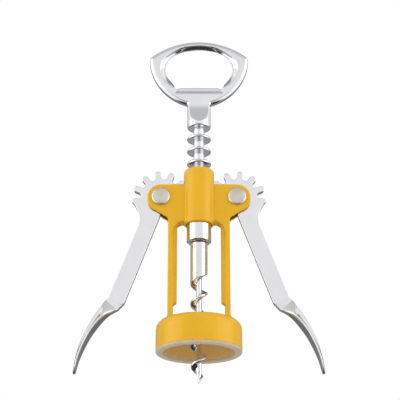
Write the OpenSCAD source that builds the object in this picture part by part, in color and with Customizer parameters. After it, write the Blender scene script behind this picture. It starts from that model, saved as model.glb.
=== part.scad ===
// Wing corkscrew with a bottle opener handle. Millimetres, Z up, front faces -Y.
// Z = 0 is the lower edge of the bell, on the axis of the bottle's neck.

/* [Bell and liner] */
// Diameter of the bore that goes over the bottle's lip
neck_bore_d = 31.7; // [30:0.1:33]
// Thickness of the bell's wall at its lower edge
bell_wall = 3.15; // [2.5:0.05:5]
// Height of the bell from its lower edge to its flat top
bell_h = 13.3; // [10:0.1:18]
// How much narrower the bell's side is at its top, on the diameter
bell_draft = 0.2; // [0:0.1:2]
// Radius of the bell's round shoulder
shoulder_r = 4; // [1:0.1:5]
// Thickness of the bell's top, which stops the bottle
bell_top_t = 3; // [2:0.1:5]
// Diameter of the hole that the cork comes up through
cork_hole_d = 23; // [21:0.1:25]
// How far the liner stands out below the bell
liner_drop = 1.2; // [0.5:0.1:3]
// How far the liner's tongue reaches up into the bell's groove
liner_up = 2.6; // [1.5:0.1:4]
// Thickness of the liner's tongue
liner_wall = 1; // [0.6:0.1:1.4]
// Thickness of the bell's wall between its bore and the groove
groove_wall = 1; // [0.6:0.1:1.4]

/* [Frame] */
// Outside diameter of the hub tube
hub_d = 13.9; // [12.5:0.1:16]
// Height of the hub tube's lower end
hub_z = 58.4; // [50:0.1:70]
// Length of the hub tube
hub_h = 27; // [20:0.1:35]
// Depth of the frame's plates from front to back
plate_depth = 6.6; // [5.5:0.1:9]
// Thickness of each cheek beside the slot
cheek_t = 1.6; // [1.2:0.1:2.5]
// Distance of the outer faces of the arms
arm_span = 27.9; // [26:0.1:32]
// Width of an arm's outer flange
arm_flange_w = 2.4; // [1.5:0.1:4]
// Width of an arm's inner rib
arm_rib_w = 1.7; // [1:0.1:3]
// Thickness of an arm's inner rib
arm_rib_t = 3; // [2:0.1:5]
// Height where the inner ribs end
arm_rib_z = 21; // [16:0.1:30]
// Radius of the arch between arm and hub
arch_r = 5; // [2:0.1:5]
// Radius of the ears about the pivots
ear_r = 6.2; // [5:0.1:8]

/* [Pivots and teeth] */
// Distance of a lever's pivot from the middle
pivot_x = 17.35; // [15.5:0.05:20]
// Height of the lever pivots above the hub tube's lower end
pivot_rise = 12.95; // [9:0.05:18]
// How far the ring between the gears lies below the pivots
mesh_drop = 1.55; // [0:0.05:4]
// Distance from ring to ring along the rack
tooth_pitch = 6.3; // [5:0.05:8]
// Number of teeth that a full circle of the gear would hold
full_teeth = 12; // [10:1:16]
// Radius over the tips of the gear teeth
tip_r = 13.3; // [12:0.05:16]
// Radius at the bottom of the gear's gaps
root_r = 9.2; // [8:0.05:11]
// Width of a gear tooth
tooth_w = 2.85; // [2:0.05:3.5]
// Diameter of the rivets
rivet_d = 4; // [3:0.1:5]
// Diameter of the rivet heads
rivet_head_d = 8.3; // [6:0.1:10]
// Thickness of the rivet heads
rivet_head_t = 1.3; // [0.8:0.1:2]

/* [Levers] */
// Thickness of a lever's flat bar
lever_t = 2.8; // [2:0.1:4]
// Width of a lever's flat bar
lever_w = 7.5; // [6:0.1:10]
// How far the bar's middle lies outside the pivot
lever_offset = 1.1; // [0:0.1:3]
// Tilt of the bar from the vertical, lever down
lever_tilt = 20.3; // [10:0.1:30]
// Height of the pivot above the bar's lower end
bar_drop = 47.85; // [40:0.05:56]
// Radius of the hollow below the bar's shoulder
hollow_r = 13; // [8:0.1:20]
// Radius that the paddle's ridge follows
paddle_r = 56.4; // [45:0.1:80]
// Angle that the paddle's ridge turns through
paddle_sweep_angle = 40.1; // [25:0.1:50]
// Greatest width of the paddle
paddle_w = 9.8; // [7:0.1:16]
// Thickness of the paddle's shell
paddle_t = 1.3; // [0.8:0.1:2]

/* [Rack] */
// Diameter over the rack's rings
rack_d = 11.1; // [9:0.1:12.5]
// Diameter between the rack's rings
rack_root_d = 5; // [4.6:0.1:6]
// Thickness of a ring
ring_t = 1.4; // [1:0.1:2]
// Length of the rack's plain lower end
rack_plain_h = 14.3; // [8:0.1:20]
// Length of the rack's end above the top ring
rack_end_h = 4.6; // [3:0.1:8]

/* [Handle] */
// Height of the handle from the lower end of its neck
handle_h = 45.65; // [38:0.05:60]
// Depth of the handle from front to back
handle_t = 4.8; // [3.5:0.1:7]
// Radius of the handle's top edge
handle_top_r = 35.4; // [28:0.1:60]
// Radius of the handle's sides
handle_side_r = 25.6; // [20:0.1:32]
// How far the middle of each side's arc lies across the axis
handle_side_x = 2.07; // [0:0.01:6]
// Radius that rounds the handle's outer edges
handle_edge_r = 1.9; // [0.5:0.1:2.2]
// How far the opener's lip lies below the handle's top
lip_drop = 24.5; // [20:0.1:29]
// Thickness of the opener's lip
lip_t = 2; // [1:0.1:3]
// Diameter of the handle's neck
neck_d = 10.9; // [9:0.1:13]
// Radius of the scoop that runs out on the neck
scoop_r = 16.3; // [8:0.1:30]

/* [Worm and spindle] */
// Diameter of the worm's shank
shank_d = 7.8; // [6:0.1:9]
// Outside diameter of the worm
worm_d = 7.7; // [6:0.1:9]
// Diameter of the worm's core
worm_core_d = 2.6; // [2:0.1:4]
// Distance from turn to turn of the worm
worm_pitch = 9.55; // [7:0.05:12]
// Length of the worm that stands below the bell's lower edge
worm_reach = 14.4; // [5:0.1:25]
// Length of the shank down to the middle of the flute's run-out
shank_plain_h = 16.45; // [10:0.05:22]
// Diameter of the spindle inside the rack
spindle_d = 3.2; // [2.6:0.1:3.4]

/* [Hidden] */
$fn = 96;

paint = [0.89, 0.69, 0.18];
chrome = [0.82, 0.83, 0.85];
satin = [0.80, 0.77, 0.73];
liner_grey = [0.72, 0.68, 0.64];

// Clearances and the overrun that every cut takes
running_gap = 0.15;
side_gap = 0.3;
press_gap = 0.03;
overrun = 1;

// Bell and liner
neck_bore_r = neck_bore_d / 2;
bell_r = neck_bore_r + bell_wall;
bell_side_r = bell_r - bell_draft / 2;
cork_hole_r = cork_hole_d / 2;
liner_inset = 0.05;
liner_flange_r = bell_r - liner_inset;
liner_edge_r = 0.9;
liner_lead_in = 0.3;
tongue_r = neck_bore_r + groove_wall;

// Frame
hub_r = hub_d / 2;
hub_top_edge_r = 1.7;
hub_low_edge_r = 0.5;
hub_bore_r = rack_d / 2 + running_gap;
arm_outer_x = arm_span / 2;
arm_inner_x = arm_outer_x - arm_flange_w;
arm_rib_x = arm_inner_x - arm_rib_w;
slot_w = plate_depth - 2 * cheek_t;
slot_r = tip_r + side_gap;
arch_rise = 1.1;
arch_x = arm_inner_x - arch_r;
arch_z = hub_z + arch_rise - arch_r;
rib_end_r = 1.2;
foot_flare_r = 3;
shoulder_x = bell_side_r - shoulder_r;
foot_x = arm_outer_x + foot_flare_r;
foot_z = bell_h - shoulder_r + sqrt(pow(shoulder_r + foot_flare_r, 2) - pow(foot_x - shoulder_x, 2));
pivot_z = hub_z + pivot_rise;
ear_top_z = pivot_z + ear_r;
cheek_rise = 0.3;
ear_drop = 0.55;
ear_slope = 31.5;
ear_fillet_r = 2.2;

// Teeth
ring_count = 6;
tooth_angle = 360 / full_teeth;
pitch_r = tooth_pitch * full_teeth / (2 * PI);
mesh_angle = -asin(mesh_drop / pitch_r);
gap_centre_r = (root_r - tooth_w / 2) / (1 - sin(tooth_angle / 2));
gap_r = gap_centre_r - root_r;
tooth_count = 8;
gap_count = 7;
tooth_tip_r = tooth_w / 2;

// Rivets
rivet_r = rivet_d / 2;
rivet_head_r = rivet_head_d / 2;
rivet_dome_r = 0.5;

// Levers
lever_inner_w = lever_w / 2 - lever_offset;
lever_outer_w = lever_w / 2 + lever_offset;
plain_angle = 212;
plain_run = 6.5;
hollow_x = 22.8;
hollow_drop = 10.25;
corner_x = 12.9;
corner_drop = 2.4;
web_x = 10.6;
web_drop = 15;
paddle_lap = 0.2;
paddle_sink = 0.6;
paddle_start_angle = 136;
paddle_root_run = bar_drop / cos(lever_tilt) - paddle_lap;
paddle_root_w = lever_outer_w - paddle_sink;
paddle_root_x = pivot_x + paddle_root_run * sin(lever_tilt) + paddle_root_w * cos(lever_tilt);
paddle_root_z = pivot_z - paddle_root_run * cos(lever_tilt) + paddle_root_w * sin(lever_tilt);
paddle_centre_x = paddle_root_x + paddle_r * cos(paddle_start_angle);
paddle_centre_z = paddle_root_z - paddle_r * sin(paddle_start_angle);
paddle_ring_count = 30;
paddle_col_count = 8;
paddle_root_depth = lever_w - paddle_sink;
place_shares = [0, 0.08, 0.16, 0.24, 0.39, 0.52, 0.63, 0.75, 0.85, 0.93, 0.98, 1];
width_shares = [0.26, 0.30, 0.52, 0.86, 1, 1, 0.98, 0.91, 0.81, 0.66, 0.42, 0.22];
depth_shares = [1, 1, 1, 0.93, 0.59, 0.44, 0.37, 0.26, 0.20, 0.175, 0.16, 0.15];
crown_shares = [0, 0, 0.25, 0.75, 1, 1, 1, 1, 0.9, 0.7, 0.4, 0.2];
hollow_shares = [0, 0, 0.1, 0.6, 1, 1, 1, 1, 1, 0.8, 0.4, 0.1];

// Rack
rack_r = rack_d / 2;
rack_root_r = rack_root_d / 2;
ring_edge_r = 0.8;
ring_low_edge_r = 0.5;
rack_chamfer = 0.6;
sleeve_bore_r = spindle_d / 2 + running_gap / 2;
top_ring_z = pivot_z - mesh_drop + (ring_count - 1) * tooth_pitch - ring_t / 2;
sleeve_shoulder_z = top_ring_z - ring_count * tooth_pitch + ring_t;
rack_z = sleeve_shoulder_z - rack_plain_h;
rack_top_z = top_ring_z + ring_t + rack_end_h;

// Handle
neck_r = neck_d / 2;
neck_z = rack_top_z + running_gap;
neck_chamfer = 0.35;
handle_top_z = neck_z + handle_h;
handle_side_drop = 9.2;
handle_side_z = handle_top_z - handle_side_drop;
opening_top_wall = 2.6;
opening_top_z = handle_top_z - opening_top_wall;
opening_side_r = 9.7;
opening_side_x = 6.9;
opening_side_drop = 14.4;
opening_side_z = handle_top_z - opening_side_drop;
opening_rise = opening_top_z - opening_side_z;
opening_top_r = (opening_rise * opening_rise + opening_side_x * opening_side_x
                 - opening_side_r * opening_side_r) / (2 * (opening_rise - opening_side_r));
opening_top_cz = opening_top_z - opening_top_r;
opening_lean = atan2(opening_side_z - opening_top_cz, opening_side_x);
opening_low_angle = 39;
lip_z = handle_top_z - lip_drop;
lip_x = 11.1;
lip_tongue_x = 9.8;
lip_step = 0.5;
lip_bevel_h = 3.5;
lip_bevel_z = lip_z - lip_bevel_h;
flare_w = 1.8;
flare_depth = 1.5;
flare_top = 0.3;
scoop_drop = 9.5;
scoop_z = lip_z - scoop_drop;

// Worm and spindle
shank_r = shank_d / 2;
worm_r = worm_d / 2;
worm_core_r = worm_core_d / 2;
shank_top_z = rack_z - running_gap;
shank_chamfer = 0.4;
flute_z = shank_top_z - shank_plain_h;
flute_run = 3.8;
left_turn_drop = 12;
left_turn_z = flute_z - left_turn_drop;
tip_fullness = 0.8;
seat_depth_low = 7;
seat_depth_high = 9;
worm_ring_step = 0.6;
worm_col_count = 28;
rim_half_angle = 26;
root_half_angle = 62;
tip_cone_h = 8.6;
tip_point_r = 0.12;
core_tip_h = 5.2;
spindle_r = spindle_d / 2;
spindle_low_z = shank_top_z - seat_depth_low;
spindle_top_z = neck_z + seat_depth_high;
spindle_seat_r = spindle_r + press_gap;
auger_top_z = flute_z + flute_run / 2 + worm_pitch / 2;

// Draws an outline of the X-Z plane as a plate of the given depth about Y = 0
module upright(depth) {
    translate([0, depth / 2, 0])
        rotate([90, 0, 0])
            linear_extrude(depth) children();
}

// A round bar along Y through a pivot
module cross_bar(radius, depth) {
    translate([0, depth / 2, 0])
        rotate([90, 0, 0])
            cylinder(h = depth, r = radius);
}

// Both sides of the frame
module both_sides() {
    children();
    mirror([1, 0, 0]) children();
}

// The bell's solid half section, with a round shoulder
module bell_section() {
    polygon([[0, 0], [bell_r, 0], [bell_side_r, bell_h - shoulder_r], [0, bell_h - shoulder_r]]);
    square([shoulder_x, bell_h]);
    intersection() {
        translate([shoulder_x, bell_h - shoulder_r]) circle(shoulder_r);
        square([bell_r, bell_h]);
    }
}

// The bell: a round cup with the bottle's bore, the liner's groove and the cork's hole
module bell() {
    difference() {
        rotate_extrude() bell_section();
        translate([0, 0, -overrun])
            cylinder(h = bell_h - bell_top_t + overrun, r = neck_bore_r);
        translate([0, 0, -overrun])
            cylinder(h = bell_h + 2 * overrun, r = cork_hole_r);
        rotate_extrude()
            translate([tongue_r - press_gap, -overrun])
                square([liner_wall + 2 * press_gap, liner_up + overrun]);
    }
}

// The hub tube with its soft ends, before it is bored
module hub() {
    translate([0, 0, hub_z])
        rotate_extrude()
            intersection() {
                union() {
                    translate([0, hub_low_edge_r]) square([hub_r, hub_h - hub_low_edge_r - hub_top_edge_r]);
                    square([hub_r - hub_low_edge_r, hub_h - hub_top_edge_r]);
                    square([hub_r - hub_top_edge_r, hub_h]);
                    translate([hub_r - hub_low_edge_r, hub_low_edge_r]) circle(hub_low_edge_r);
                    translate([hub_r - hub_top_edge_r, hub_h - hub_top_edge_r]) circle(hub_top_edge_r);
                }
                square([hub_d, 2 * hub_h]);
            }
}

// One cheek's outline, from the hub out to the ear, with the arch that joins arm and hub below it
module cheek_outline() {
    slope_x = sin(ear_slope);
    slope_z = cos(ear_slope);
    low_x = pivot_x + (ear_r + ear_drop) * slope_x;
    low_z = pivot_z - (ear_r + ear_drop) * slope_z;
    meet_z = low_z - (low_x - arm_outer_x) * tan(ear_slope);
    fillet_x = arm_outer_x + ear_fillet_r;
    fillet_z = meet_z - ear_fillet_r * tan(45 - ear_slope / 2);
    difference() {
        union() {
            translate([pivot_x, pivot_z]) circle(ear_r);
            translate([pivot_x + ear_drop, pivot_z - 2 * ear_drop]) circle(ear_r - ear_drop);
            polygon([[0, arch_z], [0, ear_top_z + cheek_rise], [pivot_x, ear_top_z],
                     [pivot_x + ear_r * slope_x, pivot_z], [low_x, low_z], [arm_outer_x, meet_z],
                     [arm_outer_x, arch_z]]);
            polygon([[arm_outer_x - overrun, meet_z], [fillet_x, meet_z + ear_fillet_r * tan(ear_slope)],
                     [fillet_x, fillet_z], [arm_outer_x - overrun, fillet_z]]);
        }
        translate([fillet_x, fillet_z]) circle(ear_fillet_r);
        translate([arch_x, arch_z]) circle(arch_r);
        translate([-overrun, arch_z - overrun]) square([arch_x + overrun, arch_r + overrun]);
    }
}

// An arm's flange, with its flared foot on the bell
module arm_flange() {
    upright(plate_depth)
        difference() {
            union() {
                translate([arm_inner_x, bell_h - bell_top_t])
                    square([arm_flange_w, hub_z - bell_h + bell_top_t]);
                polygon([[arm_inner_x, bell_h - bell_top_t], [shoulder_x, bell_h - shoulder_r],
                         [foot_x, foot_z], [arm_inner_x, foot_z]]);
            }
            translate([foot_x, foot_z]) circle(foot_flare_r);
        }
}

// An arm's inner rib, set back, with a round lower end
module arm_rib() {
    upright(arm_rib_t) {
        translate([arm_rib_x, arm_rib_z + rib_end_r])
            square([arm_rib_w + overrun, hub_z - arm_rib_z]);
        translate([arm_rib_x + rib_end_r, arm_rib_z + rib_end_r]) circle(rib_end_r);
        translate([arm_rib_x + rib_end_r, arm_rib_z]) square([arm_rib_w, hub_z - arm_rib_z]);
    }
}

// Half of the casting's plates: cheek, arm flange and rib
module frame_side() {
    upright(plate_depth) cheek_outline();
    arm_flange();
    arm_rib();
}

// What the casting leaves free: hub bore, gear slots and rivet holes
module frame_cuts() {
    translate([0, 0, hub_z - overrun])
        cylinder(h = hub_h + 2 * overrun, r = hub_bore_r);
    both_sides()
        translate([pivot_x, 0, pivot_z]) {
            cross_bar(slot_r, slot_w);
            cross_bar(rivet_r + press_gap, plate_depth + 2 * overrun);
        }
    both_sides()
        upright(slot_w)
            translate([pivot_x, pivot_z]) square([2 * ear_r, slot_r]);
}

module frame() {
    color(paint)
        difference() {
            union() {
                bell();
                hub();
                both_sides() frame_side();
            }
            frame_cuts();
        }
}

// The liner: a flange under the bell, with a tongue up in the bell's groove
module bell_liner() {
    color(liner_grey)
        rotate_extrude()
            difference() {
                union() {
                    translate([tongue_r, -liner_edge_r])
                        square([liner_wall, liner_edge_r + liner_up - press_gap]);
                    translate([neck_bore_r, -liner_drop])
                        square([liner_flange_r - liner_edge_r - neck_bore_r, liner_drop]);
                    translate([neck_bore_r, liner_edge_r - liner_drop])
                        square([liner_flange_r - neck_bore_r, liner_drop - liner_edge_r]);
                    intersection() {
                        translate([liner_flange_r - liner_edge_r, liner_edge_r - liner_drop])
                            circle(liner_edge_r);
                        translate([0, -liner_drop]) square([liner_flange_r, liner_drop]);
                    }
                }
                polygon([[neck_bore_r, -liner_drop], [neck_bore_r + liner_lead_in, -liner_drop],
                         [neck_bore_r, liner_lead_in - liner_drop]]);
            }
}

// A rivet's head, whose flat side lies on Z = 0
module rivet_head() {
    rotate_extrude()
        intersection() {
            union() {
                square([rivet_head_r, rivet_head_t - rivet_dome_r]);
                square([rivet_head_r - rivet_dome_r, rivet_head_t]);
                translate([rivet_head_r - rivet_dome_r, rivet_head_t - rivet_dome_r]) circle(rivet_dome_r);
            }
            square([rivet_head_d, rivet_head_d]);
        }
}

// A rivet on its pivot: a plain shank with a head in front and one behind
module rivet() {
    color(satin)
        translate([pivot_x, 0, pivot_z]) {
            cross_bar(rivet_r, plate_depth + rivet_head_t);
            translate([0, -plate_depth / 2, 0]) rotate([90, 0, 0]) rivet_head();
            translate([0, plate_depth / 2, 0]) rotate([-90, 0, 0]) rivet_head();
        }
}

module left_rivet() {
    mirror([1, 0, 0]) rivet();
}

module right_rivet() {
    rivet();
}

// One gap of the gear, on the X axis, open outwards
module gear_gap() {
    flank_r = gap_centre_r * cos(tooth_angle / 2);
    flank = [for (side = [-1, 1], r = side < 0 ? [flank_r, tip_r + overrun] : [tip_r + overrun, flank_r])
             [r * cos(tooth_angle / 2) + tooth_tip_r * sin(tooth_angle / 2),
              side * (r * sin(tooth_angle / 2) - tooth_tip_r * cos(tooth_angle / 2))]];
    translate([gap_centre_r, 0]) circle(gap_r);
    polygon(flank);
}

// One tooth of the gear, on the X axis, with a round tip
module gear_tooth() {
    translate([0, -tooth_tip_r]) square([tip_r - tooth_tip_r, tooth_w]);
    translate([tip_r - tooth_tip_r, 0]) circle(tooth_tip_r);
}

// The right lever's flat outline about its pivot: teeth, shoulder and bar
module lever_outline() {
    along = [sin(lever_tilt), -cos(lever_tilt)];
    outward = [cos(lever_tilt), sin(lever_tilt)];
    plain = [cos(plain_angle), sin(plain_angle)];
    outer_run = (bar_drop + lever_outer_w * outward[1]) / cos(lever_tilt);
    inward = [cos(paddle_start_angle), -sin(paddle_start_angle)];
    onward = [sin(paddle_start_angle), cos(paddle_start_angle)];
    low = paddle_root_run * along + paddle_root_w * outward + paddle_root_depth * inward;
    heel = low - (low * outward + lever_inner_w) / (onward * outward) * onward;
    difference() {
        union() {
            difference() {
                circle(gap_centre_r);
                for (k = [0:gap_count - 1])
                    rotate(180 - mesh_angle - k * tooth_angle) gear_gap();
                polygon([root_r * plain, 2 * tip_r * plain, [-tip_r, -2 * tip_r],
                         2 * tip_r * along - lever_inner_w * outward,
                         plain_run * along - lever_inner_w * outward]);
            }
            for (k = [0:tooth_count - 1])
                rotate(180 - mesh_angle + (1 / 2 - k) * tooth_angle) gear_tooth();
            polygon([-lever_inner_w * outward, lever_outer_w * outward,
                     outer_run * along + lever_outer_w * outward, low, heel]);
            polygon([[0, 0], [corner_x, -corner_drop], [web_x, -web_drop], [0, -lever_w]]);
        }
        translate([hollow_x, -hollow_drop]) circle(hollow_r);
    }
}

// The paddle's section: across at share, with the ridge outside and a hollow inside
function paddle_share(shares, share) =
    lookup(share, [for (i = [0:len(place_shares) - 1]) [place_shares[i], shares[i]]]);
function paddle_angle(share) = paddle_start_angle + share * paddle_sweep_angle;
function ridge_drop(share, u) =
    paddle_share(crown_shares, share)
    * max(0, paddle_root_depth * paddle_share(depth_shares, share) - paddle_t) * u * u;
function under_drop(share, u) =
    let (deep = paddle_root_depth * paddle_share(depth_shares, share),
         hollow = paddle_share(hollow_shares, share))
    deep + hollow * (ridge_drop(share, u) + min(paddle_t, deep) - deep);
function paddle_point(share, u, drop) =
    let (a = paddle_angle(share), r = paddle_r - drop)
    [paddle_centre_x - r * cos(a), u * paddle_w / 2 * paddle_share(width_shares, share),
     paddle_centre_z + r * sin(a)];
function paddle_ring(share) =
    concat([for (j = [0:paddle_col_count]) let (u = 2 * j / paddle_col_count - 1)
            paddle_point(share, u, ridge_drop(share, u))],
           [for (j = [paddle_col_count:-1:0]) let (u = 2 * j / paddle_col_count - 1)
            paddle_point(share, u, under_drop(share, u))]);

// The paddle of the right lever, swept along its ridge
module paddle() {
    around = 2 * (paddle_col_count + 1);
    points = [for (i = [0:paddle_ring_count]) each paddle_ring(i / paddle_ring_count)];
    sides = [for (i = [0:paddle_ring_count - 1], j = [0:around - 1])
             let (a = i * around + j, b = i * around + (j + 1) % around)
             each [[a, b, a + around], [b, b + around, a + around]]];
    first = [for (j = [0:paddle_col_count - 1])
             each [[j, around - 1 - j, j + 1], [j + 1, around - 1 - j, around - 2 - j]]];
    base = paddle_ring_count * around;
    last = [for (f = first) [base + f[2], base + f[1], base + f[0]]];
    polyhedron(points, concat(sides, first, last));
}

// The right lever: gear, bar and paddle as one piece, drilled for its rivet
module lever() {
    color(chrome)
        difference() {
            union() {
                translate([pivot_x, 0, pivot_z]) upright(lever_t) lever_outline();
                paddle();
            }
            translate([pivot_x, 0, pivot_z]) cross_bar(rivet_r + running_gap / 2, 2 * lever_t);
        }
}

module left_lever() {
    mirror([1, 0, 0]) lever();
}

module right_lever() {
    lever();
}

// A ring's solid half section, with round edges
module ring_section() {
    square([rack_r - ring_low_edge_r, ring_t - ring_edge_r]);
    square([rack_r - ring_edge_r, ring_t]);
    translate([0, ring_low_edge_r]) square([rack_r, ring_t - ring_edge_r - ring_low_edge_r]);
    intersection() {
        translate([rack_r - ring_edge_r, ring_t - ring_edge_r]) circle(ring_edge_r);
        translate([0, ring_t - ring_edge_r]) square([rack_r, ring_edge_r]);
    }
    intersection() {
        translate([rack_r - ring_low_edge_r, ring_low_edge_r]) circle(ring_low_edge_r);
        square([rack_r, ring_low_edge_r]);
    }
}

// The rack: a sleeve on the spindle, with rings that the gears push
module rack_sleeve() {
    color(chrome)
        rotate_extrude()
            difference() {
                union() {
                    translate([0, rack_z + rack_chamfer])
                        square([rack_root_r, rack_top_z - rack_z - rack_chamfer]);
                    polygon([[0, rack_z], [rack_r - rack_chamfer, rack_z], [rack_r, rack_z + rack_chamfer],
                             [rack_r, sleeve_shoulder_z - rack_chamfer],
                             [rack_r - rack_chamfer, sleeve_shoulder_z], [0, sleeve_shoulder_z]]);
                    for (k = [0:ring_count - 1])
                        translate([0, top_ring_z - k * tooth_pitch]) ring_section();
                }
                translate([-overrun, rack_z - overrun])
                    square([sleeve_bore_r + overrun, rack_top_z - rack_z + 2 * overrun]);
            }
}

// A disc that stands across Y, with round edges
module round_disc(radius, depth, edge) {
    rotate([90, 0, 0])
        rotate_extrude()
            intersection() {
                union() {
                    translate([0, edge - depth / 2]) square([radius, depth - 2 * edge]);
                    translate([0, -depth / 2]) square([radius - edge, depth]);
                    for (side = [-1, 1])
                        translate([radius - edge, side * (depth / 2 - edge)]) circle(edge);
                }
                translate([0, -depth]) square([radius, 2 * depth]);
            }
}

// The handle's solid D, before the opening is cut
module handle_blank() {
    intersection() {
        translate([0, 0, handle_top_z - handle_top_r])
            round_disc(handle_top_r, handle_t, handle_edge_r);
        translate([handle_side_x, 0, handle_side_z]) round_disc(handle_side_r, handle_t, handle_edge_r);
        translate([-handle_side_x, 0, handle_side_z]) round_disc(handle_side_r, handle_t, handle_edge_r);
    }
}

// The opening's outline: a low arch on two round sides, down to the lip
module opening_outline() {
    top = [opening_top_r * cos(opening_lean), opening_top_cz + opening_top_r * sin(opening_lean)];
    low = [opening_side_x + opening_side_r * cos(opening_low_angle),
           opening_side_z - opening_side_r * sin(opening_low_angle)];
    polygon([[-lip_x, lip_z - lip_step], [-lip_tongue_x, lip_z - lip_step],
             [-lip_tongue_x + lip_step, lip_z], [lip_tongue_x - lip_step, lip_z],
             [lip_tongue_x, lip_z - lip_step], [lip_x, lip_z - lip_step],
             low, top, [-top[0], top[1]], [-low[0], low[1]]]);
    for (side = [-1, 1])
        translate([side * opening_side_x, opening_side_z]) circle(opening_side_r);
    intersection() {
        translate([0, opening_top_cz]) circle(opening_top_r);
        translate([-top[0], opening_side_z]) square([2 * top[0], opening_rise + overrun]);
    }
}

// One side's flare of the opening, widest on the handle's face
module opening_flare() {
    half = handle_t / 2;
    intersection() {
        translate([opening_side_x, -half + flare_depth, opening_side_z])
            rotate([90, 0, 0])
                cylinder(h = flare_depth + overrun, r1 = opening_side_r,
                         r2 = opening_side_r + flare_w * (flare_depth + overrun) / flare_depth);
        translate([0, 0, opening_top_cz])
            cross_bar(opening_top_r + flare_top, 2 * handle_t);
    }
}

// The bevel that thins the opener's lip, on the handle's front
module lip_bevel() {
    half = handle_t / 2;
    lip_face = lip_t / 2;
    bevel_h = half - lip_face;
    translate([-lip_x, 0, 0])
        rotate([90, 0, 90])
            linear_extrude(2 * lip_x)
                polygon([[-half - overrun, lip_bevel_z - overrun], [-lip_face, lip_bevel_z + bevel_h],
                         [-lip_face, lip_z + overrun], [-half - overrun, lip_z + overrun]]);
}

// The scoop that turns the handle's flat face into the round neck
module neck_scoop() {
    half = handle_t / 2;
    translate([-neck_d, -half - scoop_r, scoop_z])
        rotate([0, 90, 0])
            cylinder(h = 2 * neck_d, r = scoop_r);
    translate([-neck_d, -half - scoop_r, scoop_z])
        cube([2 * neck_d, scoop_r, neck_d]);
}

// The handle: bottle opener ring and neck in one piece
module handle() {
    neck_h = scoop_z - neck_z + neck_r;
    color(chrome)
        difference() {
            union() {
                handle_blank();
                translate([0, 0, neck_z + neck_chamfer]) cylinder(h = neck_h - neck_chamfer, r = neck_r);
                translate([0, 0, neck_z])
                    cylinder(h = neck_chamfer, r1 = neck_r - neck_chamfer, r2 = neck_r);
            }
            upright(2 * handle_t) opening_outline();
            for (face = [0, 1])
                mirror([0, face, 0]) {
                    lip_bevel();
                    neck_scoop();
                    both_sides() opening_flare();
                }
            translate([0, 0, neck_z - overrun])
                cylinder(h = spindle_top_z - neck_z + overrun, r = spindle_seat_r);
        }
}

// The spindle that joins handle and worm through the rack
module spindle() {
    color(chrome)
        translate([0, 0, spindle_low_z]) cylinder(h = spindle_top_z - spindle_low_z, r = spindle_r);
}

// The worm's section: how full it is at an angle from the blade's middle, and how deep its flute is
function wrapped(angle) = ((angle % 360) + 540) % 360 - 180;
function blade_share(turn) =
    let (off = abs(wrapped(turn)))
    off < rim_half_angle ? 1
    : off > root_half_angle ? 0
    : (1 + cos(180 * (off - rim_half_angle) / (root_half_angle - rim_half_angle))) / 2;
function flute_centre_z(z, turn) = z + worm_pitch * wrapped(turn - 180) / 360;
function flute_share(z, turn) =
    max(0, min(1, (flute_z + flute_run / 2 - flute_centre_z(z, turn)) / flute_run));
function cone_share(z) = min(1, (z + worm_reach) / tip_cone_h);
function core_share(z) = min(1, (z + worm_reach) / core_tip_h);
function worm_radius(z, turn) =
    let (core = tip_point_r + (worm_core_r - tip_point_r) * core_share(z),
         full = core + (worm_r - worm_core_r) * pow(max(0, cone_share(z)), tip_fullness),
         fill = max(blade_share(turn), 1 - flute_share(z, turn)))
    core + (full - core) * fill;
function blade_angle(z) = 180 + 360 * (z - left_turn_z) / worm_pitch;

// The auger, from its point up to the shank
module auger() {
    steps = round((auger_top_z + worm_reach) / worm_ring_step);
    points = [for (i = [0:steps], j = [0:worm_col_count - 1])
              let (z = -worm_reach + (auger_top_z + worm_reach) * i / steps,
                   turn = 360 * j / worm_col_count, r = worm_radius(z, turn - blade_angle(z)))
              [r * cos(turn), r * sin(turn), z]];
    sides = [for (i = [0:steps - 1], j = [0:worm_col_count - 1])
             let (a = i * worm_col_count + j, b = i * worm_col_count + (j + 1) % worm_col_count)
             each [[a, a + worm_col_count, b], [b, a + worm_col_count, b + worm_col_count]]];
    low = [[for (j = [0:worm_col_count - 1]) j]];
    high = [[for (j = [worm_col_count - 1:-1:0]) steps * worm_col_count + j]];
    polyhedron(points, concat(sides, low, high));
}

// The worm: a plain shank that the spindle enters, and the auger below it
module worm() {
    color(chrome)
        difference() {
            union() {
                auger();
                translate([0, 0, auger_top_z - overrun / 2])
                    cylinder(h = shank_top_z - shank_chamfer - auger_top_z + overrun / 2, r = shank_r);
                translate([0, 0, shank_top_z - shank_chamfer])
                    cylinder(h = shank_chamfer, r1 = shank_r, r2 = shank_r - shank_chamfer);
            }
            translate([0, 0, spindle_low_z])
                cylinder(h = shank_top_z - spindle_low_z + overrun, r = spindle_seat_r);
        }
}

frame();
bell_liner();
left_rivet();
right_rivet();
left_lever();
right_lever();
rack_sleeve();
handle();
spindle();
worm();
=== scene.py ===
import math
import bpy
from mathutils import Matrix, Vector


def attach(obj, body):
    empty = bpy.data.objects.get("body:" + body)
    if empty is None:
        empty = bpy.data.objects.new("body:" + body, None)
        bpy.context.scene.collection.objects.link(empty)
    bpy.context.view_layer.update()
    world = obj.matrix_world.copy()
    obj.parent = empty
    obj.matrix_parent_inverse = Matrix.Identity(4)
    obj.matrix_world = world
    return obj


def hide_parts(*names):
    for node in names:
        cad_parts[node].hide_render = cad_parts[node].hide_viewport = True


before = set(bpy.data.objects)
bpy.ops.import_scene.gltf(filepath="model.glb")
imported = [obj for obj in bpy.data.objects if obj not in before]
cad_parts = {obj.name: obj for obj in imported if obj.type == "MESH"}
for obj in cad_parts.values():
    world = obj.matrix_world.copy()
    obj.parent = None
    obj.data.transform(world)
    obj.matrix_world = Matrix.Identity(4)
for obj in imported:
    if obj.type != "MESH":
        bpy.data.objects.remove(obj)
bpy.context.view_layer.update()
bpy.ops.object.select_all(action="DESELECT")
print("frame loaded:", len(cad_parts), "nodes")


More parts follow.
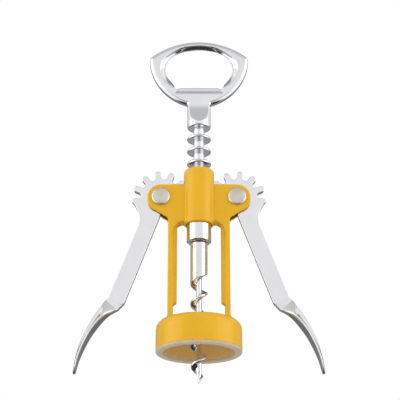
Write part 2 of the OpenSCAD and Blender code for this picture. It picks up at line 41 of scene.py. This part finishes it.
class Signal:  # a node's output that can be used in sums
    def __init__(self, graph, socket):
        self.graph = graph
        self.socket = socket

    def math(self, operation, *values):
        return self.graph.add("ShaderNodeMath", {"operation": operation}, list(values))

    def __add__(self, other):
        return self.math("ADD", self, other)

    def __radd__(self, other):
        return self.math("ADD", other, self)

    def __sub__(self, other):
        return self.math("SUBTRACT", self, other)

    def __rsub__(self, other):
        return self.math("SUBTRACT", other, self)

    def __mul__(self, other):
        return self.math("MULTIPLY", self, other)

    def __rmul__(self, other):
        return self.math("MULTIPLY", other, self)

    def __pow__(self, other):
        return self.math("POWER", self, other)

    def __abs__(self):
        return self.math("ABSOLUTE", self)


class Graph:  # a node tree that grows by expressions
    def __init__(self, tree):
        self.tree = tree

    def add(self, kind, settings=None, values=None, out=0):
        node = self.tree.nodes.new(kind)
        for name, value in (settings or {}).items():
            if name == "stops":
                ramp = node.color_ramp.elements
                for i, (place, shade) in enumerate(value):
                    stop = ramp[i] if i < 2 else ramp.new(place)
                    stop.position = place
                    stop.color = shade
            else:
                setattr(node, name, value)
        pairs = values.items() if isinstance(values, dict) else enumerate(values or [])
        for name, value in pairs:
            if isinstance(value, Signal):
                self.tree.links.new(value.socket, node.inputs[name])
            else:
                node.inputs[name].default_value = value
        return Signal(self, node.outputs[out]) if node.outputs else None

    def axes(self, place):  # x, y and z of a place or a direction
        node = self.add("ShaderNodeSeparateXYZ", {}, [place]).socket.node
        return [Signal(self, socket) for socket in node.outputs]

    def mix(self, factor, first, second, blend="MIX"):
        return self.add("ShaderNodeMix", {"data_type": "RGBA", "blend_type": blend},
                        {0: factor, 6: first, 7: second}, out=2)

    def noise(self, place, scale, detail):
        return self.add("ShaderNodeTexNoise", {}, {"Vector": place, "Scale": scale, "Detail": detail})

    def between(self, value, low, high):  # 0 at low, 1 at high
        return self.add("ShaderNodeMapRange", {"clamp": True},
                        {"Value": value, 1: low, 2: high, 3: 0.0, 4: 1.0})

    def window(self, value, low, high, edge):  # 1 from low to high, with soft edges
        over = self.between(value, high - edge, high + edge)
        return self.between(value, low - edge, low + edge) * (1 - over)


def newMaterial(name):
    material = bpy.data.materials.new(name)
    material.use_nodes = True
    material.node_tree.nodes.clear()
    graph = Graph(material.node_tree)
    place = graph.add("ShaderNodeTexCoord", out=3)  # the object's own coordinates
    return material, graph, place


def finishMaterial(graph, sockets):
    shader = graph.add("ShaderNodeBsdfPrincipled", {}, sockets)
    graph.add("ShaderNodeOutputMaterial", {}, {"Surface": shader})


def bumped(graph, height, strength, distance):
    return graph.add("ShaderNodeBump", {}, {"Height": height, "Strength": strength, "Distance": distance})


def cloudy(graph, cloud, first, second):  # two colours in soft clouds
    return graph.mix(graph.between(cloud, 0.35, 0.65), first, second)


paintLook = {
    "deep": (0.760, 0.410, 0.003, 1),
    "light": (0.795, 0.435, 0.006, 1),
    "cloudScale": 70.0,
    "speck": (0.40, 0.20, 0.02, 1),
    "speckScale": 1900.0,
    "speckRange": (0.74, 0.8),  # only the highest spots of the noise
    "speckShare": 0.25,
    "peelScale": 620.0,
    "peelStrength": 0.25,
    "peelDepth": 0.000035,
    "rough": 0.27,
    "roughSpread": 0.08,
    "specular": 0.34,
    "coat": 0.10,
    "coatRough": 0.12,
    # painted shade round the hub's throat and between the cheeks, and a duller tone in the bell's bore, each
    # limit as a pair: where the change starts and where it ends
    "shadeShare": 0.85,
    "boreTone": (0.66, 0.45, 0.19, 1),  # a duller, tan tone in the bell's bore
    "bellBore": (0.0162, 0.0164),
    "bellTop": (0.0108, 0.0112),
    "throatShade": (0.09, 0.055, 0.01, 1),  # painted shade, dark olive: round the rack at the hub's top, and between the cheeks
    "throatBore": (0.0061, 0.0063),
    "throatLow": (0.0815, 0.0825),
    "slotHalf": (0.0017, 0.0020),  # half the gap between the cheeks
    "slotStart": (0.0130, 0.0135),
    "slotLow": (0.056, 0.058),
}


def makePaint():
    material, graph, place = newMaterial("yellowPaint")
    cloud = graph.noise(place, paintLook["cloudScale"], 3.0)
    peel = graph.noise(place, paintLook["peelScale"], 1.0)
    speck = graph.between(graph.noise(place, paintLook["speckScale"], 1.0), *paintLook["speckRange"])
    colour = cloudy(graph, cloud, paintLook["deep"], paintLook["light"])
    colour = graph.mix(speck * paintLook["speckShare"], colour, paintLook["speck"])
    across, deep, up = graph.axes(place)
    radius = (across * across + deep * deep) ** 0.5
    # the paint turns a duller tan inside the bell's bore
    inside = 1 - graph.between(radius, *paintLook["bellBore"])
    inside = inside * (1 - graph.between(up, *paintLook["bellTop"]))
    colour = graph.mix(inside * paintLook["shadeShare"], colour, paintLook["boreTone"])
    # painted shade: dark olive paint round the rack at the hub's top, where shade falls
    throatShade = 1 - graph.between(radius, *paintLook["throatBore"])
    throatShade = throatShade * graph.between(up, *paintLook["throatLow"])
    # painted shade: dark olive paint on the walls of the gap between the cheeks
    slotShade = 1 - graph.between(abs(deep), *paintLook["slotHalf"])
    slotShade = slotShade * graph.between(abs(across), *paintLook["slotStart"])
    slotShade = slotShade * graph.between(up, *paintLook["slotLow"])
    colour = graph.mix((throatShade + slotShade) * paintLook["shadeShare"], colour, paintLook["throatShade"])
    finishMaterial(graph, {
        "Base Color": colour,
        "Roughness": paintLook["rough"] + paintLook["roughSpread"] * cloud,
        "Specular IOR Level": paintLook["specular"],
        "Coat Weight": paintLook["coat"],
        "Coat Roughness": paintLook["coatRough"],
        "Normal": bumped(graph, peel, paintLook["peelStrength"], paintLook["peelDepth"]),
    })
    return material


chromeLook = {
    "polished": {"base": (0.86, 0.865, 0.88, 1), "rough": 0.07, "spread": 0.05, "scratch": 0.10},
    "ground": {"base": (0.80, 0.80, 0.805, 1), "rough": 0.09, "spread": 0.05, "scratch": 0.10},
    "rolled": {"base": (0.84, 0.845, 0.86, 1), "rough": 0.13, "spread": 0.06, "scratch": 0.12},
    "satin": {"base": (0.865, 0.867, 0.875, 1), "rough": 0.14, "spread": 0.06, "scratch": 0.12},
}
chromeGrain = {
    "hazeScale": 120.0,
    "hazeRange": (0.3, 0.7),
    "hazeShare": 0.5,
    "hazeTone": 0.94,  # how bright the haze is beside the base
    "grainScale": 2600.0,
    "grainDepth": 0.00001,
}


def makeChrome(name, look):
    material, graph, place = newMaterial(name)
    haze = graph.between(graph.noise(place, chromeGrain["hazeScale"], 4.0), *chromeGrain["hazeRange"])
    grain = graph.noise(place, chromeGrain["grainScale"], 2.0)
    hazy = tuple(chromeGrain["hazeTone"] * c for c in look["base"][:3]) + (1,)
    finishMaterial(graph, {
        "Base Color": graph.mix(haze * chromeGrain["hazeShare"], look["base"], hazy),
        "Metallic": 1.0,
        "Roughness": look["rough"] + look["spread"] * haze,
        "Normal": bumped(graph, grain, look["scratch"], chromeGrain["grainDepth"]),
    })
    return material


rivetLook = {
    "base": (0.80, 0.735, 0.665, 1),
    "worn": (0.72, 0.655, 0.585, 1),
    "cloudScale": 300.0,
    "rough": 0.33,
    "roughSpread": 0.1,
    "grainScale": 3000.0,
    "grainStrength": 0.3,
    "grainDepth": 0.00002,
}


def makeRivetMetal():
    material, graph, place = newMaterial("satinNickel")
    cloud = graph.noise(place, rivetLook["cloudScale"], 3.0)
    grain = graph.noise(place, rivetLook["grainScale"], 2.0)
    finishMaterial(graph, {
        "Base Color": cloudy(graph, cloud, rivetLook["base"], rivetLook["worn"]),
        "Metallic": 1.0,
        "Roughness": rivetLook["rough"] + rivetLook["roughSpread"] * grain,
        "Normal": bumped(graph, grain, rivetLook["grainStrength"], rivetLook["grainDepth"]),
    })
    return material


linerLook = {
    "base": (0.52, 0.43, 0.315, 1),
    "dusty": (0.57, 0.48, 0.36, 1),
    "cloudScale": 200.0,
    "rough": 0.48,
    "roughSpread": 0.12,
    "grainScale": 2200.0,
    "grainStrength": 0.25,
    "grainDepth": 0.00003,
}


def makeLinerPlastic():
    material, graph, place = newMaterial("linerPlastic")
    cloud = graph.noise(place, linerLook["cloudScale"], 3.0)
    grain = graph.noise(place, linerLook["grainScale"], 3.0)
    finishMaterial(graph, {
        "Base Color": cloudy(graph, cloud, linerLook["base"], linerLook["dusty"]),
        "Roughness": linerLook["rough"] + linerLook["roughSpread"] * cloud,
        "Normal": bumped(graph, grain, linerLook["grainStrength"], linerLook["grainDepth"]),
    })
    return material


paint = makePaint()
chrome = {kind: makeChrome(kind + "Chrome", look) for kind, look in chromeLook.items()}
rivetMetal = makeRivetMetal()
linerPlastic = makeLinerPlastic()
print("paint, chrome, rivet metal and liner plastic made")


def dress(piece, material):
    piece.data.materials.clear()
    piece.data.materials.append(material)


def only(piece):  # the one piece that the next operators act on
    bpy.ops.object.select_all(action="DESELECT")
    piece.select_set(True)
    bpy.context.view_layer.objects.active = piece


def editAll():  # edit mode, with the whole mesh selected
    bpy.ops.object.mode_set(mode="EDIT")
    bpy.ops.mesh.select_all(action="SELECT")


def facesOut():  # turns the selected faces outward and leaves edit mode
    bpy.ops.mesh.normals_make_consistent(inside=False)
    bpy.ops.object.mode_set(mode="OBJECT")


def nodeCopy(name, node):  # a copy of a CAD node, with its loose triangles joined
    piece = bpy.data.objects.new(name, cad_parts[node].data.copy())
    bpy.context.scene.collection.objects.link(piece)
    only(piece)
    editAll()
    bpy.ops.mesh.remove_doubles(threshold=0.000001)
    bpy.ops.object.mode_set(mode="OBJECT")
    return piece


def finished(piece, kind, **settings):  # adds a modifier and applies it
    bpy.ops.object.modifier_add(type=kind)
    modifier = piece.modifiers[-1]
    for name, value in settings.items():
        setattr(modifier, name, value)
    bpy.ops.object.modifier_apply(modifier=modifier.name)


def weighed(piece, name, weightAt):  # a vertex group whose weight depends on the place
    group = piece.vertex_groups.new(name=name)
    for vertex in piece.data.vertices:
        group.add([vertex.index], weightAt(vertex.co), "REPLACE")
    return name


def slope(value, low, high):  # 0 at low, 1 at high
    return min(1.0, max(0.0, (value - low) / (high - low)))


def handOver(piece, material, body, node):  # the piece takes the node's place
    bpy.ops.object.shade_smooth()
    dress(piece, material)
    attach(piece, body)
    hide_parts(node)
    bpy.ops.object.select_all(action="DESELECT")


castingShape = {
    "voxel": 0.00037,
    "rounds": 7,
    "softness": 0.5,
    "softFrom": (0.0015, 0.0035),  # the softening sets in between these heights, above the bell's crisp edge
}


def makeCasting():  # die-cast frame: soft edges, and fillets where the plates meet the hub
    piece = nodeCopy("frameCasting", "frame")
    finished(piece, "REMESH", mode="VOXEL", voxel_size=castingShape["voxel"])
    soft = weighed(piece, "soft", lambda co: slope(co.z, *castingShape["softFrom"]))
    finished(piece, "SMOOTH", factor=castingShape["softness"], iterations=castingShape["rounds"],
             vertex_group=soft)
    handOver(piece, paint, "body", "frame")


leverShape = {
    "voxel": 0.00019,
    "rounds": 2,
    "softness": 0.5,
    "arcCentre": (-0.001604, -0.014017),  # x and z of the arc that the paddle's ridge follows
    "arcRadius": 0.05643,
    "arcStart": 136.0,
    "arcSweep": 40.1,
    "lap": 0.010,  # how far up inside the bar the paddle starts, as a share of its own length
    "cutBelow": 0.0014,  # how far down inside the paddle the bar's own end is cut
    "rings": 104,
    "width": 0.0098,
    "roof": (0.30, 0.05),  # where across the paddle its flat top turns into a slope, and how softly
    "flare": (0.60, 0.04),  # where that slope flattens into the lip
    "flareShare": 0.5,
    # along the paddle, from the bar to the tip: place, share of the width, depth of the rim's upper edge and
    # of its lower edge under the ridge, how much deeper the underside gets, and how far in from the rim
    "stations": [
        (-0.04, 0.284, 0.0, 0.00696, 0.0, 0.001), (0.03, 0.284, 0.0, 0.00696, 0.0, 0.001),
        (0.085, 0.286, 0.0, 0.00690, 0.0, 0.0007), (0.10, 0.33, 0.0, 0.00650, 0.0002, 0.0007),
        (0.135, 0.43, 0.0002, 0.00560, 0.0005, 0.0007), (0.165, 0.52, 0.0005, 0.00500, 0.0006, 0.0007),
        (0.178, 0.56, 0.0012, 0.00475, 0.0006, 0.0007), (0.20, 0.64, 0.0022, 0.00445, 0.0006, 0.0008),
        (0.25, 0.81, 0.0031, 0.00400, 0.0005, 0.0010), (0.31, 0.94, 0.0031, 0.00370, 0.0004, 0.0014),
        (0.39, 1.0, 0.0028, 0.00335, 0.0003, 0.0014), (0.52, 1.0, 0.0022, 0.00275, 0.0001, 0.0014),
        (0.63, 0.98, 0.0018, 0.00235, 0.0, 0.0014), (0.75, 0.91, 0.0012, 0.00180, 0.0, 0.0014),
        (0.85, 0.81, 0.0008, 0.00140, 0.0, 0.0014), (0.93, 0.66, 0.0006, 0.00120, 0.0, 0.0014),
        (0.98, 0.42, 0.0004, 0.00110, 0.0, 0.001), (1.0, 0.25, 0.0003, 0.00105, 0.0, 0.001),
    ],
    "across": [-0.94, -0.88, -0.80, -0.69, -0.52, -0.32, -0.12, 0.12, 0.32, 0.52, 0.69, 0.80, 0.88, 0.94],
    "rim": [(0.975, 0.04), (0.993, 0.16), (1.0, 0.5), (0.993, 0.84), (0.975, 0.96)],  # across, and down it
    "tip": 0.993,  # where the last whole section lies, before the tip's small end
    "tipScale": 0.45,
}


def stationAt(share):  # the stations' values at a place, on smooth curves through them
    rows = leverShape["stations"]
    i = min(len(rows) - 2, max(k for k in range(len(rows)) if k == 0 or rows[k][0] <= share))
    start, end = rows[i], rows[i + 1]
    before, after = rows[max(0, i - 1)], rows[min(len(rows) - 1, i + 2)]
    step = end[0] - start[0]
    f = (share - start[0]) / step
    values = []
    for k in range(1, len(start)):
        enter = (end[k] - before[k]) / (end[0] - before[0]) * step
        leave = (after[k] - start[k]) / (after[0] - start[0]) * step
        gain = end[k] - start[k]
        bend = 3 * gain - 2 * enter - leave + f * (enter + leave - 2 * gain)
        values.append(start[k] + f * (enter + f * bend))
    return values


def hinge(value, soft):  # 0 below 0 and the value above, with a soft turn
    return (value + math.sqrt(value * value + soft * soft)) / 2


def crownAt(u):  # the crown from rim to rim, u from -1 to 1: a flat top, a slope, and a lip that flares out
    roof, soft = leverShape["roof"]
    flare, flareSoft = leverShape["flare"]

    def raw(v):
        return hinge(v - roof, soft) - leverShape["flareShare"] * hinge(v - flare, flareSoft)

    return (raw(abs(u)) - raw(0.0)) / (raw(1.0) - raw(0.0))


def paddleSection(share):  # the closed section of the right paddle: ridge side, rim, inner side, rim
    width, rise, edge, deeper, reach = stationAt(share)
    half = leverShape["width"] / 2 * width

    def ridgeDrop(u):
        return max(0.0, rise * crownAt(u))

    def underDrop(u):
        within = min(1.0, half * (1 - abs(u)) / reach)
        return edge + deeper * within * within * (3 - 2 * within)

    outer = [(u, ridgeDrop(u)) for u in leverShape["across"]]
    inner = [(u, underDrop(u)) for u in reversed(leverShape["across"])]
    top, low = ridgeDrop(1.0), underDrop(1.0)
    frontRim = [(u, top + f * (low - top)) for u, f in leverShape["rim"]]
    backRim = [(-u, top + f * (low - top)) for u, f in reversed(leverShape["rim"])]
    angle = math.radians(leverShape["arcStart"] + share * leverShape["arcSweep"])
    middleX, middleZ = leverShape["arcCentre"]
    points = []
    for u, drop in outer + frontRim + inner + backRim:
        distance = leverShape["arcRadius"] - drop
        x, z = middleX - distance * math.cos(angle), middleZ + distance * math.sin(angle)
        points.append(Vector((x, u * half, z)))
    return points


def makePaddle():  # forged paddle: a ring, extruded along the ridge, and each ring set to its section
    last = leverShape["tip"]
    shares = [-leverShape["lap"] + (last + leverShape["lap"]) * k / leverShape["rings"]
              for k in range(leverShape["rings"] + 1)]
    sections = [paddleSection(share) for share in shares]
    end = paddleSection(1.0)
    middle = sum(end, Vector()) / len(end)
    sections.append([middle + leverShape["tipScale"] * (point - middle) for point in end])
    around, step = len(end), leverShape["width"]  # any step does, until the rings are set
    bpy.ops.mesh.primitive_circle_add(vertices=around, radius=leverShape["width"] / 2, fill_type="NGON",
                                      location=(0, 0, 0))
    paddle = bpy.context.object
    editAll()
    for _ in sections[1:]:
        bpy.ops.mesh.extrude_region_move(TRANSFORM_OT_translate={"value": (0, 0, step)})
    bpy.ops.object.mode_set(mode="OBJECT")
    for vertex in paddle.data.vertices:
        ring = round(vertex.co.z / step)
        corner = round(math.atan2(vertex.co.x, vertex.co.y) / (2 * math.pi) * around) % around
        vertex.co = sections[ring][corner]
    editAll()
    facesOut()
    finished(paddle, "SUBSURF", levels=1, render_levels=1)
    return paddle


def makeLevers():  # forged lever: stamped bar and teeth with the paddle grown on its end
    right = nodeCopy("rightLever", "right_lever")
    start = math.radians(leverShape["arcStart"])
    middleX, middleZ = leverShape["arcCentre"]
    along = Vector((math.sin(start), 0, math.cos(start)))
    outward = Vector((-math.cos(start), 0, math.sin(start)))
    ridge = Vector((middleX, 0, middleZ)) + leverShape["arcRadius"] * outward
    cut = ridge + leverShape["cutBelow"] * along
    editAll()
    bpy.ops.mesh.bisect(plane_co=cut, plane_no=along, use_fill=True, clear_outer=True)
    bpy.ops.object.mode_set(mode="OBJECT")
    finished(right, "REMESH", mode="VOXEL", voxel_size=leverShape["voxel"])
    finished(right, "SMOOTH", factor=leverShape["softness"], iterations=leverShape["rounds"])
    paddle = makePaddle()
    only(right)
    finished(right, "BOOLEAN", operation="UNION", solver="EXACT", object=paddle)
    bpy.data.objects.remove(paddle)
    left = bpy.data.objects.new("leftLever", right.data.copy())
    bpy.context.scene.collection.objects.link(left)
    handOver(right, chrome["satin"], "right_lever", "right_lever")
    only(left)
    editAll()
    bpy.ops.transform.resize(value=(-1, 1, 1), center_override=(0, 0, 0))
    facesOut()
    handOver(left, chrome["satin"], "left_lever", "left_lever")


handleShape = {
    "voxel": 0.00024,
    "rounds": 14,
    "softness": 0.5,
    "openingDrop": 0.0144,  # from the handle's top down to the opening's middle
    "openingHalf": (0.0166, 0.0118),
    "openingReach": 1.1,  # how far round the opening's oval its wall is looked for
    "lipDrop": 0.0238,  # from the handle's top down to the crown cap lip, which stays straight
    "crown": (0.96, 1, 0.925),  # the opening's wall bulges inward half-way back
}


def makeHandle():  # forged ring with a crowned opening and blended edges
    piece = nodeCopy("handleRing", "handle")
    top = max(vertex.co.z for vertex in piece.data.vertices)
    lipZ = top - handleShape["lipDrop"]
    middleZ = top - handleShape["openingDrop"]
    halfX, halfZ = handleShape["openingHalf"]
    editAll()
    bpy.ops.mesh.bisect(plane_co=(0, 0, 0), plane_no=(0, 1, 0))
    bpy.ops.mesh.select_mode(type="VERT")
    bpy.ops.mesh.select_all(action="DESELECT")
    bpy.ops.object.mode_set(mode="OBJECT")
    for vertex in piece.data.vertices:
        away = math.hypot(vertex.co.x / halfX, (vertex.co.z - middleZ) / halfZ)
        halfWay = abs(vertex.co.y) < 0.00001
        vertex.select = halfWay and away < handleShape["openingReach"] and vertex.co.z > lipZ
    bpy.ops.object.mode_set(mode="EDIT")
    bpy.ops.transform.resize(value=handleShape["crown"], center_override=(0, 0, middleZ))
    bpy.ops.object.mode_set(mode="OBJECT")
    finished(piece, "REMESH", mode="VOXEL", voxel_size=handleShape["voxel"])
    finished(piece, "SMOOTH", factor=handleShape["softness"], iterations=handleShape["rounds"])
    handOver(piece, chrome["polished"], "screw", "handle")


wormShape = {
    "columns": 72,  # round the section
    "rings": 224,  # along the auger
    "pitch": 0.00955,
    "coreRadius": 0.0013,
    "bladeRadius": 0.00385,
    "bladeAngles": (13, 60),  # half the blade's rim and half its root, as angles of its section
    "plainLength": 0.01645,  # from the shank's top down to where the flute starts
    "fluteRun": 0.0038,  # the height over which the flute runs out into the shank
    "turnDrop": 0.012,  # how far below the flute's start the blade points to the left
    "pointRadius": 0.00012,
    "pointHeight": 0.0052,  # up to here the core grows from the point
    "coneHeight": 0.0086,  # and up to here the blade
    "coneFullness": 0.8,  # 1 is a straight cone, and less is a fuller one
    # the shank above the auger, down into the spindle's hole: radius, and height below its top
    "shankRings": [
        (0.00385, 0.0096), (0.00385, 0.0070), (0.00385, 0.0030), (0.00385, 0.0007), (0.00385, 0.00045),
        (0.0037, 0.00015), (0.0035, 0.0), (0.0033, 0.0), (0.0018, 0.0), (0.00162, 0.0001), (0.00162, 0.0070),
    ],
}


def bladeShare(turn):  # 1 on the blade's rim, 0 on the core
    rim, root = wormShape["bladeAngles"]
    off = abs((turn + 180) % 360 - 180)
    return (1 + math.cos(math.pi * slope(off, rim, root))) / 2


def wormRadius(height, turn, flute, low):  # the auger's section at an angle from the blade's middle
    point, thick, wide = wormShape["pointRadius"], wormShape["coreRadius"], wormShape["bladeRadius"]
    grown = slope(height, low, low + wormShape["coneHeight"]) ** wormShape["coneFullness"]
    core = point + (thick - point) * slope(height, low, low + wormShape["pointHeight"])
    full = core + (wide - thick) * grown
    middle = height + wormShape["pitch"] * (turn % 360 - 180) / 360
    run = wormShape["fluteRun"] / 2
    return core + (full - core) * max(bladeShare(turn), slope(middle, flute - run, flute + run))


def makeWorm():  # ground auger: a grid rolled up, whose section turns with the blade, closed at both ends
    heights = [vertex.co.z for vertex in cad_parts["worm"].data.vertices]
    low, high = min(heights), max(heights)
    flute = high - wormShape["plainLength"]
    fluteEnd = flute + wormShape["fluteRun"] / 2 + wormShape["pitch"] / 2
    columns, rings, pitch = wormShape["columns"], wormShape["rings"], wormShape["pitch"]
    shank = wormShape["shankRings"]
    bpy.ops.mesh.primitive_grid_add(x_subdivisions=columns, y_subdivisions=rings + len(shank), size=2,
                                    location=(0, 0, 0))
    piece = bpy.context.object
    piece.name = "wormAuger"
    for vertex in piece.data.vertices:
        column = round((vertex.co.x + 1) / 2 * columns)
        ring = round((vertex.co.y + 1) / 2 * (rings + len(shank)))
        turn = 360 * column / columns
        height = low + (fluteEnd - low) * min(1.0, ring / rings)
        twist = math.radians(turn + 180 + 360 * (height - flute + wormShape["turnDrop"]) / pitch)
        if ring <= rings:
            radius = wormRadius(height, turn, flute, low)
        else:
            radius, drop = shank[ring - rings - 1]
            height = high - drop
        vertex.co = (radius * math.cos(twist), radius * math.sin(twist), height)
    editAll()
    bpy.ops.mesh.remove_doubles(threshold=0.000002)
    bpy.ops.mesh.fill_holes(sides=0)
    bpy.ops.mesh.select_all(action="SELECT")
    facesOut()
    finished(piece, "SUBSURF", levels=1, render_levels=1)
    handOver(piece, chrome["ground"], "screw", "worm")


rivetShape = {
    "place": (-0.01735, 0, 0.07135),  # the left lever's pivot
    "shankRadius": 0.002,
    "shankLength": 0.0066,
    "sides": 72,
    "smoothAngle": 35,
    # the head, from the shank's end outward: radius and height
    "headRings": [
        (0.00400, 0.0), (0.00415, 0.00022), (0.00415, 0.00058), (0.00405, 0.00084), (0.00380, 0.00101),
        (0.00330, 0.00113), (0.00250, 0.00122), (0.00150, 0.00128), (0.00060, 0.00130),
    ],
}


def makeRivets():  # shank with a low domed head at each end, made in the left ear and copied to the right
    x, y, z = rivetShape["place"]
    bpy.ops.mesh.primitive_cylinder_add(vertices=rivetShape["sides"], radius=rivetShape["shankRadius"],
                                        depth=rivetShape["shankLength"], location=(x, y, z),
                                        rotation=(math.radians(90), 0, 0))
    left = bpy.context.object
    left.name = "leftRivet"
    bpy.ops.object.transform_apply(location=True, rotation=True, scale=True)
    for way in (-1, 1):
        radius, height = rivetShape["shankRadius"], 0.0
        bpy.ops.object.mode_set(mode="EDIT")
        bpy.ops.mesh.select_all(action="DESELECT")
        bpy.ops.object.mode_set(mode="OBJECT")
        for face in left.data.polygons:
            face.select = face.normal.y * way > 0.9 and face.center.y * way > 0.0
        bpy.ops.object.mode_set(mode="EDIT")
        bpy.ops.mesh.select_mode(type="FACE")
        for newRadius, newHeight in rivetShape["headRings"]:
            step, grow = way * (newHeight - height), newRadius / radius
            bpy.ops.mesh.extrude_region_move(TRANSFORM_OT_translate={"value": (0, step, 0)})
            bpy.ops.transform.resize(value=(grow, 1, grow), center_override=(x, y, z))
            radius, height = newRadius, newHeight
        bpy.ops.object.mode_set(mode="OBJECT")
    right = bpy.data.objects.new("rightRivet", left.data.copy())
    bpy.context.scene.collection.objects.link(right)
    only(right)
    editAll()
    bpy.ops.transform.translate(value=(-2 * x, 0, 0))
    bpy.ops.object.mode_set(mode="OBJECT")
    for piece, node in ((left, "left_rivet"), (right, "right_rivet")):
        only(piece)
        handOver(piece, rivetMetal, "body", node)
        only(piece)
        bpy.ops.object.shade_smooth_by_angle(angle=math.radians(rivetShape["smoothAngle"]))
    bpy.ops.object.select_all(action="DESELECT")


makeCasting()
makeLevers()
makeHandle()
makeWorm()
makeRivets()
print("soft-edged casting, levers, handle, worm and rivets made")

dress(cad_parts["bell_liner"], linerPlastic)
for name in ("rack_sleeve", "spindle"):
    dress(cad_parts[name], chrome["rolled"])
print("materials on the nodes that stay")


studio = {
    "floorZ": -0.17,
    "floorSize": 8.0,
    "floorLight": (0.86, 0.86, 0.86, 1),
    "floorDark": (0.82, 0.82, 0.82, 1),
    "floorRough": 0.9,
    "mottleScale": 6.0,
    "mottleShare": 0.3,
    "boxDistance": 3.3,
    "boxAzimuths": (-70, 68),  # degrees from the front
    "boxHeight": 0.96,
    "boxTilt": 78,
    "boxSize": (2.85, 3.9),
    "boxPower": 46.0,
    "skyDiffuse": 0.825,  # the sky's level for all light but mirrored light
    # what chrome sees by height, the two ends first: dark straight below, pale in front, dimmer overhead
    "mirrorSky": [
        (0.0, (0.035, 0.035, 0.04, 1)),
        (1.0, (0.56, 0.565, 0.58, 1)),
        (0.16, (0.045, 0.045, 0.05, 1)),
        (0.27, (0.36, 0.36, 0.37, 1)),
        (0.33, (0.46, 0.46, 0.47, 1)),
        (0.50, (0.64, 0.64, 0.65, 1)),
        (0.60, (0.87, 0.87, 0.88, 1)),
        (0.71, (0.91, 0.91, 0.92, 1)),
        (0.83, (0.60, 0.60, 0.61, 1)),
    ],
    "backTint": (0.24, 0.245, 0.25, 1),  # that sky is darker behind the opener
    "backDepth": (0.20, 0.88),
    "backHeight": (-0.45, -0.20),
    # patches of it on either side: degrees from the front, their soft edge, how far the degrees shift with
    # the height, the heights, and the level
    "patchMiddle": 0.5,  # the height where a slanted patch is in its stated place
    "patchEdge": 0.06,
    "patches": [
        {"turn": (32, 112), "soft": 14, "slant": 0, "height": (-0.72, 0.72), "glow": (1.06, 1.06, 1.07, 1)},
        {"turn": (50, 94), "soft": 5, "slant": 0, "height": (-0.25, 0.58), "glow": (2.4, 2.4, 2.4, 1)},
        {"turn": (64, 146), "soft": 6, "slant": 100, "height": (0.42, 0.84), "glow": (0.92, 0.92, 0.93, 1)},
        {"turn": (152, 260), "soft": 6, "slant": 100, "height": (0.40, 0.86), "glow": (0.07, 0.07, 0.08, 1)},
    ],
}


def makeFloor():  # pale floor, which chrome doesn't mirror
    bpy.ops.mesh.primitive_plane_add(size=studio["floorSize"], location=(0, 0, studio["floorZ"]))
    floor = bpy.context.object
    floor.name = "paleFloor"
    material, graph, place = newMaterial("paleFloor")
    mottle = graph.noise(place, studio["mottleScale"], 2.0) * studio["mottleShare"]
    finishMaterial(graph, {
        "Base Color": graph.mix(mottle, studio["floorLight"], studio["floorDark"]),
        "Roughness": studio["floorRough"],
    })
    dress(floor, material)
    floor.visible_glossy = False
    bpy.ops.object.select_all(action="DESELECT")


def makeLights():  # a soft box on either side
    away = studio["boxDistance"]
    for azimuth in studio["boxAzimuths"]:
        turn = math.radians(azimuth)
        place = (away * math.sin(turn), -away * math.cos(turn), studio["boxHeight"])
        bpy.ops.object.light_add(type="AREA", location=place,
                                 rotation=(math.radians(studio["boxTilt"]), 0, turn))
        lamp = bpy.context.object
        lamp.name = "softBox"
        lamp.data.shape = "RECTANGLE"
        lamp.data.size, lamp.data.size_y = studio["boxSize"]
        lamp.data.energy = studio["boxPower"]
        lamp.visible_glossy = False
    bpy.ops.object.select_all(action="DESELECT")


def makeWorld():  # white to the camera, even to paint, and a sky with dark and bright patches to chrome
    world = bpy.data.worlds.new("studioSky")
    bpy.context.scene.world = world
    world.use_nodes = True
    world.node_tree.nodes.clear()
    graph = Graph(world.node_tree)
    way = graph.add("ShaderNodeTexCoord", out=0)  # the direction that a ray goes in
    across, depth, height = graph.axes(way)
    mirrored = graph.add("ShaderNodeValToRGB", {"stops": studio["mirrorSky"]}, [height * 0.5 + 0.5])
    turn = abs(across.math("ARCTAN2", across, depth * -1.0)) * math.degrees(1)
    behind = graph.between(depth, *studio["backDepth"]) * graph.between(height, *studio["backHeight"])
    mirrored = graph.mix(behind, mirrored, graph.mix(1.0, mirrored, studio["backTint"], "MULTIPLY"))
    for patch in studio["patches"]:
        shifted = turn + (height - studio["patchMiddle"]) * patch["slant"]
        share = graph.window(shifted, *patch["turn"], patch["soft"])
        share = share * graph.window(height, *patch["height"], studio["patchEdge"])
        mirrored = graph.mix(share, mirrored, patch["glow"])
    seen = graph.add("ShaderNodeLightPath", out=0)
    glossy = graph.add("ShaderNodeLightPath", out=3)
    plain = studio["skyDiffuse"]
    shade = graph.mix(glossy, (plain, plain, plain, 1), mirrored)
    shade = graph.mix(seen, shade, (1, 1, 1, 1))
    sky = graph.add("ShaderNodeBackground", {}, {"Color": shade, "Strength": 1.0})
    graph.add("ShaderNodeOutputWorld", {}, {"Surface": sky})


photoCamera = {
    "place": (0, -0.51284, -0.13521),
    "pitch": 21.9,
    "lens": 108.72,
    "sensor": 36,
    "shiftX": 0.0026,
    "clipStart": 0.01,
}


def makeCamera():
    bpy.ops.object.camera_add(location=photoCamera["place"],
                              rotation=(math.radians(90 + photoCamera["pitch"]), 0, 0))
    camera = bpy.context.object
    camera.data.lens = photoCamera["lens"]
    camera.data.sensor_width = photoCamera["sensor"]
    camera.data.shift_x = photoCamera["shiftX"]
    camera.data.clip_start = photoCamera["clipStart"]
    bpy.context.scene.camera = camera
    bpy.ops.object.select_all(action="DESELECT")


makeFloor()
makeLights()
makeWorld()
makeCamera()
bpy.context.scene.view_settings.view_transform = "Standard"
print("studio, lights and camera set")
